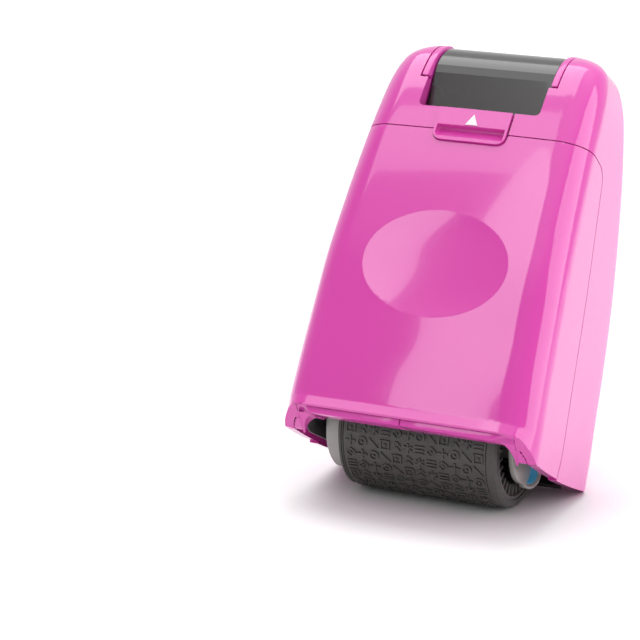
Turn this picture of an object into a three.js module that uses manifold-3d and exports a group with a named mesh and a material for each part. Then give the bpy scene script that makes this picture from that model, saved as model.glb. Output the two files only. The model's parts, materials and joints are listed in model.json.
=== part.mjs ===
// Privacy roller stamp: a hand-sized casing with an inked rubber roller in its mouth, a guard
// that turns round the roller, and a thumb lever on top that works the guard.
// Everything is drawn upright about the roller's axis: +X along the roller, +Y to the back,
// +Z up the casing. The last group leans it back, so it stands on the roller and its rear edge.
import * as THREE from 'three';
import { mergeVertices } from 'three/addons/utils/BufferGeometryUtils.js';
import Module from 'manifold-3d';

const wasm = await Module();
wasm.setup();

// Driving dimensions, in millimetres and degrees.
const lean = THREE.MathUtils.degToRad(26);
const rollerRadius = 11.3;
const printHalf = 13.8;
const casingTop = 64.3;
const cornerRadius = 5.5;
const frontCrown = 0.8;
const wall = 1.5;
const gap = 0.3;
const overrun = 12;
const openShare = 5;
const tiny = 0.1;
const frontBack = -6;

// Across the stamp, outwards from the roller: cartridge arms, link wires, guard, frame, casing.
const endRoom = 0.5;
const armInner = printHalf + endRoom;
const armThickness = 0.9;
const armOuter = armInner + armThickness;
const wireRadius = 0.5;
const wireGap = 0.8;
const wireX = armOuter + wireGap + wireRadius;
const guardPlateInner = wireX + wireRadius + gap;
const guardPlate = 0.7;
const guardHalf = guardPlateInner + guardPlate;
const frameInset = wall + gap;
const frameWall = 1.1;
const frameInside = frameInset + frameWall;
const sideRoom = 0.8;
const halfWidth = guardHalf + sideRoom + frameInside;

// Front to back: the lip in front of the roller, and the guard and frame behind it.
const frontRoom = 7.5;
const frontReach = rollerRadius + frontRoom;
const guardRoom = 1.0;
const guardInner = rollerRadius + guardRoom;
const guardWall = 1.0;
const rearRoom = 1.6;
const rearReach = guardInner + guardWall + frameInside + rearRoom;

// Sections of the casing from its foot to its crown, as shares of the driving dimensions:
// height, half width, front reach, rear reach and corner radius.
const casingShares = [
  [-0.124, 1.005, 1.000, 1.000, 1.000],
  [0.000, 1.000, 1.000, 1.000, 1.000],
  [0.109, 0.988, 0.995, 1.000, 1.000],
  [0.218, 0.979, 0.971, 1.000, 1.000],
  [0.373, 0.963, 0.931, 0.972, 1.000],
  [0.498, 0.945, 0.862, 0.927, 1.000],
  [0.622, 0.926, 0.777, 0.854, 1.000],
  [0.731, 0.908, 0.686, 0.770, 1.000],
  [0.809, 0.894, 0.606, 0.680, 1.000],
  [0.871, 0.876, 0.527, 0.601, 0.945],
  [0.918, 0.848, 0.452, 0.517, 0.873],
  [0.953, 0.806, 0.367, 0.416, 0.764],
  [0.980, 0.728, 0.250, 0.298, 0.582],
  [0.995, 0.618, 0.128, 0.180, 0.345],
  [1.000, 0.535, 0.053, 0.107, 0.182],
];
const cornerSteps = 4;
const leastCornerShare = 0.1;
const mostCornerShare = 0.45;
const frontShares = [-0.6, 0, 0.6];

// A closed three.js geometry as a solid that can be joined and cut.
function solid(geometry) {
  const bare = geometry.clone();
  bare.deleteAttribute('normal');
  bare.deleteAttribute('uv');
  const merged = mergeVertices(bare);
  const places = new Float32Array(merged.attributes.position.array);
  const corners = [];
  let volume = 0;
  const at = (i) => new THREE.Vector3().fromArray(places, i * 3);
  for (let i = 0; i < merged.index.count; i += 3) {
    const [a, b, c] = [0, 1, 2].map((k) => merged.index.getX(i + k));
    if (a === b || b === c || c === a) continue;
    corners.push([a, b, c]);
    volume += at(a).dot(at(b).cross(at(c)));
  }
  const facing = volume < 0 ? corners.map(([a, b, c]) => [a, c, b]) : corners;
  const triVerts = new Uint32Array(facing.flat());
  return new wasm.Manifold(new wasm.Mesh({ numProp: 3, vertProperties: places, triVerts }));
}

function geometryOf(piece) {
  const cut = piece.getMesh();
  const geometry = new THREE.BufferGeometry();
  geometry.setAttribute('position', new THREE.BufferAttribute(cut.vertProperties, cut.numProp));
  geometry.setIndex(new THREE.BufferAttribute(cut.triVerts, 1));
  geometry.computeVertexNormals();
  return geometry;
}

function mirrored(piece) {
  return solid(geometryOf(piece).applyMatrix4(new THREE.Matrix4().makeScale(-1, 1, 1)));
}

function joined(pieces) {
  return pieces.reduce((whole, piece) => whole.add(piece));
}

function box(x, y, z) {
  const size = [x, y, z].map(([low, high]) => high - low);
  const middle = [x, y, z].map(([low, high]) => (low + high) / 2);
  return solid(new THREE.BoxGeometry(...size).translate(...middle));
}

// An outline drawn in the side view (y to the right, z up), carried along X.
function sideExtrude(shape, low, high, curveSegments = 8) {
  const geometry = new THREE.ExtrudeGeometry(shape, { depth: high - low, bevelEnabled: false, curveSegments });
  const turn = new THREE.Matrix4().makeBasis(
    new THREE.Vector3(0, 1, 0),
    new THREE.Vector3(0, 0, 1),
    new THREE.Vector3(1, 0, 0),
  );
  return solid(geometry.applyMatrix4(turn).translate(low, 0, 0));
}

// An outline drawn in the front view (x to the right, z up), carried along Y.
function frontExtrude(shape, near, far, curveSegments = 8) {
  const geometry = new THREE.ExtrudeGeometry(shape, { depth: far - near, bevelEnabled: false, curveSegments });
  const turn = new THREE.Matrix4().makeBasis(
    new THREE.Vector3(1, 0, 0),
    new THREE.Vector3(0, 0, 1),
    new THREE.Vector3(0, -1, 0),
  );
  return solid(geometry.applyMatrix4(turn).translate(0, far, 0));
}

// A profile of [radius, x] points turned about the X axis.
function turned(profile, segments) {
  const points = profile.map(([radius, x]) => new THREE.Vector2(radius, x));
  const geometry = new THREE.LatheGeometry(points, segments);
  return solid(geometry.rotateZ(-Math.PI / 2));
}

function rod(radius, low, high, segments = 20) {
  return turned([[0, low], [radius, low], [radius, high], [0, high]], segments);
}

function tube(outer, inner, low, high, segments = 32) {
  return turned([[inner, low], [outer, low], [outer, high], [inner, high], [inner, low]], segments);
}

function circle(y, z, radius) {
  const shape = new THREE.Shape();
  shape.absarc(y, z, radius, 0, Math.PI * 2, false);
  return shape;
}

// The outline round two circles, like a strap drawn tight over them.
function strap(a, b) {
  const heading = Math.atan2(b.z - a.z, b.y - a.y);
  const turn = Math.acos((a.radius - b.radius) / Math.hypot(b.y - a.y, b.z - a.z));
  const shape = new THREE.Shape();
  shape.absarc(a.y, a.z, a.radius, heading + turn, heading - turn + Math.PI * 2, false);
  shape.absarc(b.y, b.z, b.radius, heading - turn, heading + turn, false);
  return shape;
}

// One section of the casing, set in by inset from the outer skin, counterclockwise from above.
function section(row, inset) {
  const [heightShare, widthShare, frontShare, rearShare, cornerShare] = row;
  const height = heightShare * casingTop;
  const z = height > 0 ? height * (casingTop - inset) / casingTop : height - inset * openShare;
  const half = widthShare * halfWidth - inset;
  const front = frontShare * frontReach - inset;
  const rear = rearShare * rearReach - inset;
  const corner = Math.max(cornerShare * cornerRadius - inset, Math.min(half, front + rear) * leastCornerShare);
  const across = Math.min(corner, (front + rear) * mostCornerShare);
  const points = [];
  const arc = (x, y, start) => {
    for (let i = 0; i <= cornerSteps; i += 1) {
      const angle = start + i / cornerSteps * Math.PI / 2;
      points.push([x + across * Math.cos(angle), y + across * Math.sin(angle)]);
    }
  };
  arc(half - across, across - front, -Math.PI / 2);
  arc(half - across, rear - across, 0);
  arc(across - half, rear - across, Math.PI / 2);
  arc(across - half, across - front, Math.PI);
  frontShares.forEach((share) => points.push([share * (half - across), -front]));
  return points.map(([x, y]) => {
    const share = Math.max(0, -y / Math.max(front, wall));
    return [x, y + frontCrown * (x / halfWidth) ** 2 * share, z];
  });
}

// The casing's form as a closed loft, set in by inset.
function casing(inset) {
  const rings = casingShares.map((row) => section(row, inset));
  const count = rings[0].length;
  const index = [];
  for (let i = 0; i < count; i += 1) {
    const next = (i + 1) % count;
    for (let r = 0; r + 1 < rings.length; r += 1) {
      const low = r * count;
      const high = low + count;
      index.push(low + i, low + next, high + next, low + i, high + next, high + i);
    }
    const top = (rings.length - 1) * count;
    if (i > 0 && i + 1 < count) index.push(0, i + 1, i, top, top + i, top + i + 1);
  }
  const geometry = new THREE.BufferGeometry();
  geometry.setAttribute('position', new THREE.Float32BufferAttribute(rings.flat(2), 3));
  geometry.setIndex(index);
  return solid(geometry);
}

// Reach of the casing's front and rear at a height, from the same sections.
function reachAt(z, column, reach) {
  const share = z / casingTop;
  const upper = casingShares.findIndex((row) => row[0] > share);
  const [low, high] = [casingShares[upper - 1], casingShares[upper]];
  const along = (share - low[0]) / (high[0] - low[0]);
  return (low[column] + (high[column] - low[column]) * along) * reach;
}
const frontAt = (z, inset = 0) => inset - reachAt(z * casingTop / (casingTop - inset), 2, frontReach);
const halfAt = (z) => reachAt(z, 1, halfWidth);

// Height of the floor in the upright drawing, where the leaned stamp stands.
const floorAt = (y) => (y * Math.sin(lean) - rollerRadius) / Math.cos(lean);

// Pink, grey and clear mouldings, rubber, felt and steel.
const finish = (color, roughness, metalness = 0) =>
  new THREE.MeshStandardMaterial({ color, roughness, metalness });
const pink = finish(0xe163b4, 0.22);
const grey = finish(0x484645, 0.35);
const clear = finish(0x9a9594, 0.3);
const black = finish(0x24221f, 0.6);
const rubber = finish(0x3a3836, 0.75);
const blue = finish(0x3d7ca8, 0.3);
const felt = finish(0x1d1c22, 0.95);
const steel = finish(0xb9bcc0, 0.3, 1);

const stamp = new THREE.Group();
stamp.rotation.x = -lean;

function place(name, piece, material, parent = stamp) {
  const mesh = new THREE.Mesh(geometryOf(piece), material);
  mesh.name = name;
  parent.add(mesh);
  return mesh;
}

function groupAt(y, z) {
  const group = new THREE.Group();
  group.position.set(0, y, z);
  stamp.add(group);
  return group;
}

// Places shared by pieces that work together.
const leverRadius = 8.5;
const leverAxis = { y: 0.4, z: casingTop - leverRadius - gap };
const slotHalf = 10.7;
const railThickness = 1.1;
const railRise = 0.9;
const railEnd = leverAxis.z + railRise;
const crankInner = slotHalf + tiny + railThickness + gap;
const crankPlate = 1.0;
const wireTopX = crankInner + crankPlate + gap + wireRadius;
const rearSlotDrop = 1.1;
const rearSlotFoot = leverAxis.z - rearSlotDrop;
const pocketDrop = 4.5;
const pocketFoot = leverAxis.z - pocketDrop;
const crankLength = 3.6;
const crankRest = THREE.MathUtils.degToRad(60);
const pinRadius = 1.0;
const hingeInset = 3.5;
const hingeAxis = { y: hingeInset - frontReach, z: -2.4 };
const hingePinRadius = 0.5;
const inkRadius = 5.0;
const inkAngle = THREE.MathUtils.degToRad(115);
const inkDistance = rollerRadius + inkRadius + tiny;
const inkAxis = { y: inkDistance * Math.cos(inkAngle), z: inkDistance * Math.sin(inkAngle) };

const outerSkin = casing(0);
const innerSkin = casing(wall);
const shell = outerSkin.subtract(innerSkin);

// Seam between the front cover and the rear shell, in the side view.
const seamY = -1.9;
const tabHeight = 5.8;
const tabFoot = pocketFoot - tabHeight;
const notchDepth = 1.7;
const seamTop = tabFoot + notchDepth;
const seamCorner = 2.3;
const seamEase = 0.7;
function coverRegion(grow) {
  const shape = new THREE.Shape();
  const far = frontReach + overrun;
  const swing = Math.hypot(frontAt(seamTop) - hingeAxis.y, seamTop - hingeAxis.z) + grow;
  const turnAt = (y) => Math.acos((y - hingeAxis.y) / swing);
  const heightAt = (y) => hingeAxis.z + swing * Math.sin(turnAt(y));
  const edge = seamY + grow;
  shape.moveTo(-far, -far);
  shape.lineTo(edge - seamEase, -far);
  shape.lineTo(edge - seamEase, sideFoot);
  shape.lineTo(edge, hingeAxis.z);
  shape.lineTo(edge, heightAt(edge) - seamCorner);
  shape.quadraticCurveTo(edge, heightAt(edge), edge - seamCorner, heightAt(edge - seamCorner));
  shape.absarc(hingeAxis.y, hingeAxis.z, swing, turnAt(edge - seamCorner), Math.PI * 0.6, false);
  shape.lineTo(-far, heightAt(hingeAxis.y));
  return sideExtrude(shape, -halfWidth * 2, halfWidth * 2);
}

// Lower edge of the side walls, which ends on the floor at the back.
const cornerFoot = -4.6;
const sideFoot = -6.1;
const footTread = 2.4;
const treadBendShare = 0.6;
function belowEdge(raise) {
  const shape = new THREE.Shape();
  const far = frontReach + overrun;
  const treadY = rearReach - footTread;
  shape.moveTo(-far, -far);
  shape.lineTo(-far, cornerFoot + raise);
  shape.lineTo(-frontReach, cornerFoot + raise);
  shape.quadraticCurveTo(-frontReach / 2, sideFoot + raise, 0, sideFoot + raise);
  shape.quadraticCurveTo(treadY * treadBendShare, sideFoot + raise, treadY, floorAt(treadY) + raise);
  shape.lineTo(rearReach + overrun, floorAt(rearReach + overrun) + raise);
  shape.lineTo(rearReach + overrun, -far);
  return sideExtrude(shape, -halfWidth * 2, halfWidth * 2, 5);
}

// Arch of the mouth in the front wall.
const mouthInset = 4.3;
const mouthHalf = halfWidth - mouthInset;
const coverFoot = -1.7;
const archRise = 2.4;
function mouthArch(halfSpan, top, near, far) {
  const shape = new THREE.Shape();
  shape.moveTo(-halfSpan - tiny, -overrun);
  shape.lineTo(halfSpan + tiny, -overrun);
  shape.lineTo(halfSpan, top - archRise);
  shape.quadraticCurveTo(halfSpan - archRise / 2, top, halfSpan - archRise, top);
  shape.lineTo(archRise - halfSpan, top);
  shape.quadraticCurveTo(archRise / 2 - halfSpan, top, -halfSpan, top - archRise);
  return frontExtrude(shape, near, far, 5);
}

// Lip over the mouth: a bar round the cover's hinge line, barrelled as the cover's face is.
const lipSet = 0.2;
const lipRadius = hingeInset - lipSet;
const lipFoot = -2.9;
const lipBack = 1.3;
const lipOver = 0.4;
const lipEnd = mouthHalf + lipOver;
const lipShares = [0, 0.3, 0.55, 0.8, 1];
function lipBar(start, end, grow) {
  const line = lipShares.map((share) => {
    const x = start + (end - start) * share;
    return [lipRadius + grow - frontCrown * (x / halfWidth) ** 2, x];
  });
  return turned([[0, start], ...line, [0, end]], 40).translate(0, hingeAxis.y, hingeAxis.z);
}

// Latch tab between the pocket and the cover, and the notch and window round it. It stands
// proud of the casing, and a finger recess crosses it above its lower lip.
const tabHalf = 6.2;
const tabCorner = 1.6;
const tabProud = 0.4;
const tabGuideLap = 1.4;
const tabGuideRise = 0.8;
const tabGuideHalf = tabHalf + tabGuideLap;
const tabGuideFoot = tabFoot + tabGuideRise;
const tabGuideTop = pocketFoot - tabGuideLap;
const tabGuideWall = 0.8;
const recess = { half: 5.5, lip: 0.6, deep: 1.3, top: 2.6, depth: 1.1 };
function tabOutline(grow, foot, top) {
  const half = tabHalf + grow;
  const low = foot - grow;
  const shape = new THREE.Shape();
  shape.moveTo(-half, top);
  shape.lineTo(-half, low + tabCorner);
  shape.absarc(tabCorner - half, low + tabCorner, tabCorner, Math.PI, Math.PI * 1.5, false);
  shape.absarc(half - tabCorner, low + tabCorner, tabCorner, -Math.PI / 2, 0, false);
  shape.lineTo(half, top);
  return frontExtrude(shape, -frontReach - overrun, frontBack, 4);
}

// Oval finger dish in the front cover.
const dish = { halfWidth: 12.4, halfHeight: 9.0, depth: 1.1, z: 23.9, sinkShare: 0.4 };
function dishCutter() {
  const { halfWidth: a, halfHeight: b, depth, z } = dish;
  const below = frontAt(z - b);
  const above = frontAt(z + b);
  const tilt = Math.atan2(above - below, b * 2);
  const sphere = new THREE.SphereGeometry(1, 28, 18);
  sphere.rotateX(Math.PI / 2);
  const bulge = frontCrown + depth;
  sphere.scale(a, bulge, b);
  sphere.rotateX(-tilt);
  sphere.translate(0, (below + above) / 2 - frontCrown * dish.sinkShare, z);
  return solid(sphere);
}

function frontCover() {
  const behindDish = box(
    [-dish.halfWidth - wall, dish.halfWidth + wall],
    [-frontReach - overrun, frontBack],
    [dish.z - dish.halfHeight - wall, dish.z + dish.halfHeight + wall],
  );
  const backing = innerSkin.subtract(casing(wall + dish.depth)).intersect(behindDish);
  const pinInner = mouthHalf - gap;
  const pin = rod(hingePinRadius, pinInner, halfWidth - wall / 2, 12)
    .translate(0, hingeAxis.y, hingeAxis.z)
    .intersect(outerSkin);
  const lipRoom = lipBar(-tiny, mouthHalf + gap * 2, gap);
  const plate = outerSkin.subtract(innerSkin.subtract(backing))
    .intersect(coverRegion(0))
    .subtract(belowEdge(0))
    .subtract(mouthArch(mouthHalf + gap * 2, coverFoot, -frontReach - overrun, hingeAxis.y + lipBack))
    .subtract(joined([lipRoom, mirrored(lipRoom)]))
    .subtract(tabOutline(gap, tabFoot, casingTop))
    .subtract(dishCutter());
  return joined([plate, pin, mirrored(pin)]);
}

function topSlot(half, clearance) {
  const shape = new THREE.Shape();
  const far = casingTop + overrun;
  shape.moveTo(-far, railEnd + clearance);
  shape.lineTo(leverAxis.y, railEnd + clearance);
  shape.lineTo(leverAxis.y, rearSlotFoot + clearance);
  shape.lineTo(far, rearSlotFoot + clearance);
  shape.lineTo(far, far);
  shape.lineTo(-far, far);
  return sideExtrude(shape, -half, half);
}

function rearShell() {
  const pocket = box(
    [-slotHalf, slotHalf],
    [-frontReach - overrun, leverAxis.y],
    [pocketFoot, railEnd + gap * 2],
  );
  return shell
    .subtract(coverRegion(gap))
    .subtract(belowEdge(0))
    .subtract(topSlot(slotHalf + railThickness + gap, 0))
    .subtract(pocket)
    .subtract(tabOutline(gap, tabFoot, pocketFoot + tiny));
}

function latchTab() {
  const front = [-frontReach - overrun, frontBack];
  const face = casing(-tabProud).subtract(casing(wall + gap + tiny))
    .intersect(tabOutline(0, tabFoot, pocketFoot - tiny));
  const guide = casing(wall + gap).subtract(casing(wall + gap + tabGuideWall))
    .intersect(box([-tabGuideHalf, tabGuideHalf], front, [tabGuideFoot, tabGuideTop]));
  const trough = new THREE.Shape();
  const far = -frontReach - overrun;
  const faceAt = (rise) => frontAt(tabFoot + rise, -tabProud);
  trough.moveTo(far, tabFoot + recess.lip);
  trough.lineTo(faceAt(recess.lip), tabFoot + recess.lip);
  trough.lineTo(faceAt(recess.deep) + recess.depth, tabFoot + recess.deep);
  trough.lineTo(faceAt(recess.top), tabFoot + recess.top);
  trough.lineTo(far, tabFoot + recess.top);
  return face.subtract(sideExtrude(trough, -recess.half, recess.half)).add(guide);
}

place('rear_shell', rearShell(), pink);
place('front_cover', frontCover(), pink);
place('latch_tab', latchTab(), pink);

// Inner frame, moulded as two halves that meet on the middle line.
const frameTopRise = 1.0;
const frameTop = tabFoot + frameTopRise;
const frameFrontInset = 6.4;
const frameFrontEdge = frameFrontInset - frontReach;
const windowInset = 6.2;
const windowHalf = halfWidth - windowInset;
const windowDrop = 3.2;
const windowTop = tabFoot - windowDrop;
const rearWindowTop = 18.0;
const shelfThickness = 1.2;
const frameRaise = 0.6;
const pivotRadius = 1.3;
const boreOf = (radius) => radius + gap;
const seatRadius = 2.0;
const seatRib = 0.8;
const seatRibDepth = 1.6;
const seatRibHalf = 3.6;
const webLap = 1.8;
const webSet = 0.95;

function frameHalf() {
  const far = frontReach + overrun;
  const side = [gap / 2, halfWidth * 2];
  const walls = casing(frameInset).subtract(casing(frameInside))
    .intersect(box(side, [-far, far], [-far, frameTop]))
    .subtract(box([-windowHalf, windowHalf], [-far, frontBack], [-far, windowTop]))
    .subtract(box([-windowHalf, windowHalf], [-frontBack, far], [-far, rearWindowTop]))
    .subtract(box(side, [-far, frameFrontEdge], [-far, windowTop]))
    .subtract(box([-tabGuideHalf - gap * 2, tabGuideHalf + gap * 2], [-far, frontBack], [tabFoot, casingTop]))
    .subtract(belowEdge(frameRaise));
  const shelf = casing(frameInset)
    .intersect(box([slotHalf, halfWidth], [-far, far], [frameTop - shelfThickness, frameTop]));
  const railX = [slotHalf + tiny, slotHalf + tiny + railThickness];
  const rail = joined([
    outerSkin.intersect(topSlot(halfWidth, gap)),
    casing(frameInset),
  ]).intersect(box(railX, [-far, far], [frameTop - shelfThickness, casingTop]));
  const lip = lipBar(gap / 2, lipEnd, 0).intersect(box(
    [0, halfWidth],
    [-far, hingeAxis.y + lipBack],
    [lipFoot, hingeAxis.z + lipRadius],
  ));
  const pinBore = rod(hingePinRadius + gap / 2, mouthHalf - gap * 3, halfWidth, 12)
    .translate(0, hingeAxis.y, hingeAxis.z);
  const webInner = lipEnd - webLap;
  const webBack = frameFrontEdge + lipBack;
  const webTop = hingeAxis.z + lipBack * 2;
  const webFront = hingeAxis.y + webSet;
  const web = joined([
    box([webInner, halfAt(0) - frameInside - gap], [webFront, webBack], [lipFoot, webTop]),
    box([webInner, halfAt(0) - frameInset - gap], [frameFrontEdge, webBack], [hingeAxis.z + gap, webTop]),
  ]);
  const pivot = rod(pivotRadius, guardPlateInner, halfAt(0) - frameInset - frameWall / 2);
  const ribZ = seatRadius + gap + seatRib;
  const ribX = [armOuter + seatRibDepth, halfAt(inkAxis.z) - frameInset - frameWall / 2];
  const ribY = [inkAxis.y - seatRibHalf, inkAxis.y + seatRadius + gap + seatRib];
  const ribs = joined([
    box(ribX, ribY, [inkAxis.z + ribZ - seatRib, inkAxis.z + ribZ]),
    box(ribX, ribY, [inkAxis.z - ribZ, inkAxis.z - ribZ + seatRib]),
    box(ribX, [ribY[1] - seatRib, ribY[1]], [inkAxis.z - ribZ, inkAxis.z + ribZ]),
  ]).intersect(casing(frameInset + frameWall / 2));
  const axleBore = rod(boreOf(pinRadius), 0, halfWidth, 16).translate(0, leverAxis.y, leverAxis.z);
  const wirePath = box(
    [wireTopX - wireRadius - gap, wireX + wireRadius + gap * 2],
    [leverAxis.y, leverAxis.y + crankLength + wireRadius + gap * 3],
    [frameTop - shelfThickness - tiny, frameTop + tiny],
  );
  return joined([walls, shelf, rail, lip, web, pivot, ribs])
    .subtract(pinBore)
    .subtract(axleBore)
    .subtract(wirePath);
}

const rightHalf = frameHalf();
place('frame_right', rightHalf, pink);
place('frame_left', mirrored(rightHalf), pink);

// Leaf spring behind the latch tab, bent from strip and laid on the frame's front wall.
const leafReach = { foot: 2.6, bend: 0.4, tip: 3.4 };
const leaf = {
  thickness: 0.3,
  half: 2.6,
  foot: tabFoot - leafReach.foot,
  bend: tabFoot + leafReach.bend,
  tip: tabFoot + leafReach.tip,
  kick: 0.5,
};
function leafSpring() {
  const rest = frameInside + gap;
  const line = [
    [frontAt(leaf.foot, rest), leaf.foot],
    [frontAt(leaf.bend, rest), leaf.bend],
    [frontAt(leaf.tip, rest), leaf.tip],
    [frontAt(leaf.tip, rest) + leaf.kick, leaf.tip + leaf.kick],
  ];
  const shape = new THREE.Shape();
  line.forEach(([y, z], i) => (i ? shape.lineTo(y, z) : shape.moveTo(y, z)));
  [...line].reverse().forEach(([y, z]) => shape.lineTo(y + leaf.thickness, z));
  return sideExtrude(shape, -leaf.half, leaf.half);
}
place('latch_spring', leafSpring(), steel);

// Thumb lever: a drum with one flat side, which runs on below it as the thumb pad.
const creaseRise = 3.8;
const crease = leverAxis.z + creaseRise;
const padLap = 0.4;
const padFoot = pocketFoot - padLap;
const padSlope = 0.7;
const facet = { drop: 1.7, slope: 0.45 };
const padThickness = 1.6;
const leverHalf = slotHalf - gap;
const leverGroup = groupAt(leverAxis.y, leverAxis.z);

function thumbLever() {
  const creaseZ = crease - leverAxis.z;
  const creaseY = -Math.sqrt(leverRadius ** 2 - creaseZ ** 2);
  const footZ = padFoot - leverAxis.z;
  const start = Math.atan2(creaseZ, creaseY);
  const footFlat = creaseY - padSlope;
  const shape = new THREE.Shape();
  shape.moveTo(footFlat, footZ);
  shape.lineTo(creaseY - facet.slope, creaseZ - facet.drop);
  shape.lineTo(creaseY, creaseZ);
  shape.absarc(0, 0, leverRadius, start, -Math.PI * 0.75, true);
  shape.lineTo(footFlat + padThickness, footZ);
  return sideExtrude(shape, -leverHalf, leverHalf, 20)
    .subtract(rod(boreOf(pinRadius), -halfWidth, halfWidth, 16));
}
place('thumb_lever', thumbLever(), grey, leverGroup);

// Steel axle of the lever, with a crank on each end outside the frame's rails.
const crankHub = 2.2;
const eyeWall = 0.9;
place('lever_axle', rod(pinRadius, -crankInner - crankPlate, crankInner + crankPlate, 16), steel, leverGroup);

const crankPin = { y: crankLength * Math.cos(crankRest), z: crankLength * Math.sin(crankRest) };
function crankArm() {
  const eye = boreOf(wireRadius) + eyeWall;
  const shape = strap({ y: 0, z: 0, radius: crankHub }, { ...crankPin, radius: eye });
  const bores = joined([
    rod(boreOf(pinRadius), 0, halfWidth, 16),
    rod(boreOf(wireRadius), 0, halfWidth, 12).translate(0, crankPin.y, crankPin.z),
  ]);
  return sideExtrude(shape, crankInner, crankInner + crankPlate, 10).subtract(bores);
}
const rightCrank = crankArm();
place('crank_right', rightCrank, black, leverGroup);
place('crank_left', mirrored(rightCrank), black, leverGroup);

// Link wires: bent steel rods from the cranks down to the guard, beside the cartridge.
const wireDrop = { high: 4.5, low: 21.5 };
const wireBend = { high: leverAxis.z - wireDrop.high, low: leverAxis.z - wireDrop.low, radius: 0.7 };
const linkGroup = groupAt(leverAxis.y + crankPin.y, leverAxis.z + crankPin.z);
function linkWire() {
  const drop = leverAxis.z;
  const sway = -leverAxis.y;
  const corner = wireBend.radius;
  const points = [
    [crankInner + tiny, 0, 0],
    [wireTopX - corner, 0, 0],
    [wireTopX, 0, -corner],
    [wireTopX, 0, wireBend.high - drop - crankPin.z],
    [wireX, sway / 2, wireBend.low - drop - crankPin.z],
    [wireX, sway, corner - drop],
    [wireX + corner / 2, sway, -drop],
    [guardHalf - tiny, sway, -drop],
  ].map((point) => new THREE.Vector3(...point));
  const path = new THREE.CurvePath();
  points.slice(1).forEach((point, i) => path.add(new THREE.LineCurve3(points[i], point)));
  return path;
}

// A wire as a tube of rings, one ring at each bend, mitred between its straight runs.
function wireAlong(path, radius, sides = 8) {
  const stops = [path.curves[0].v1, ...path.curves.map((line) => line.v2)];
  const across = new THREE.Vector3(0, 1, 0);
  const rings = stops.map((stop, i) => {
    const before = stops[Math.max(i - 1, 0)];
    const after = stops[Math.min(i + 1, stops.length - 1)];
    const heading = after.clone().sub(stop).normalize().add(stop.clone().sub(before).normalize()).normalize();
    const other = new THREE.Vector3().crossVectors(heading, across).normalize();
    const level = new THREE.Vector3().crossVectors(other, heading).normalize();
    return Array.from({ length: sides }, (_, k) => {
      const angle = k / sides * Math.PI * 2;
      return stop.clone()
        .addScaledVector(level, radius * Math.cos(angle))
        .addScaledVector(other, radius * Math.sin(angle))
        .toArray();
    });
  });
  const index = [];
  const last = (rings.length - 1) * sides;
  for (let k = 0; k < sides; k += 1) {
    const next = (k + 1) % sides;
    for (let r = 0; r < last; r += sides) {
      index.push(r + k, r + next, r + sides + next, r + k, r + sides + next, r + sides + k);
    }
    if (k > 0 && k + 1 < sides) index.push(0, k + 1, k, last, last + k, last + k + 1);
  }
  const geometry = new THREE.BufferGeometry();
  geometry.setAttribute('position', new THREE.Float32BufferAttribute(rings.flat(2), 3));
  geometry.setIndex(index);
  return solid(geometry);
}
const rightLink = wireAlong(linkWire(), wireRadius);
place('link_right', rightLink, steel, linkGroup);
place('link_left', mirrored(rightLink), steel, linkGroup);

// Guard: a curved wall behind the roller, on two end plates that turn about the roller's axis.
const guardStart = THREE.MathUtils.degToRad(-25);
const guardEnd = THREE.MathUtils.degToRad(74);
const guardHub = 2.9;

function ringSector(inner, outer, start, end) {
  const shape = new THREE.Shape();
  shape.absarc(0, 0, outer, start, end, false);
  shape.absarc(0, 0, inner, end, start, true);
  return shape;
}

function guard() {
  const outer = guardInner + guardWall;
  const hub = circle(0, 0, guardHub);
  const spoke = ringSector(pivotRadius, outer, guardStart, guardEnd);
  const plate = joined([
    sideExtrude(hub, guardPlateInner, guardHalf, 10),
    sideExtrude(spoke, guardPlateInner, guardHalf, 12),
  ]);
  const pin = { y: crankPin.y, z: crankPin.z };
  const wallPiece = sideExtrude(ringSector(guardInner, outer, guardStart, guardEnd), -guardHalf, guardHalf, 12);
  const bores = joined([
    rod(boreOf(pivotRadius), -halfWidth, halfWidth),
    rod(boreOf(wireRadius), -halfWidth, halfWidth, 12).translate(0, pin.y, pin.z),
  ]);
  return joined([wallPiece, plate, mirrored(plate)]).subtract(bores);
}
place('guard', guard(), black);

// Print roller: a ribbed hub with the rubber sleeve pressed on it, on bushes and a steel axle.
const sleeveWall = 1.5;
const hubRadius = rollerRadius - sleeveWall - gap;
const hubWall = 0.9;
const hubWeb = 1.6;
const tubeRadius = 3.2;
const bushRadius = 2.1;
const bushFlange = 2.9;
const bushLength = 3.0;
const hubHalf = printHalf - tiny;
const ribCount = 36;
const ribHeight = 0.6;
const ribLength = 7.5;

function rollerHub() {
  const rim = hubRadius - hubWall;
  const bore = boreOf(bushRadius);
  const tubeHalf = hubHalf - gap;
  const body = turned([
    [bore, -tubeHalf],
    [tubeRadius, -tubeHalf],
    [tubeRadius, -hubWeb / 2],
    [rim, -hubWeb / 2],
    [rim, -hubHalf],
    [hubRadius, -hubHalf],
    [hubRadius, hubHalf],
    [rim, hubHalf],
    [rim, hubWeb / 2],
    [tubeRadius, hubWeb / 2],
    [tubeRadius, tubeHalf],
    [bore, tubeHalf],
    [bore, -tubeHalf],
  ], 40);
  const ring = circle(0, 0, rim + hubWall / 2);
  const teeth = new THREE.Path();
  for (let i = 0; i < ribCount * 4; i += 1) {
    const angle = i / (ribCount * 4) * Math.PI * 2;
    const radius = i % 4 < 2 ? rim - ribHeight : rim - tiny;
    teeth[i ? 'lineTo' : 'moveTo'](radius * Math.cos(angle), radius * Math.sin(angle));
  }
  ring.holes.push(teeth);
  const ribs = sideExtrude(ring, hubHalf - ribLength, hubHalf - tiny, 12);
  return joined([body, ribs, mirrored(ribs)]);
}

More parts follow.
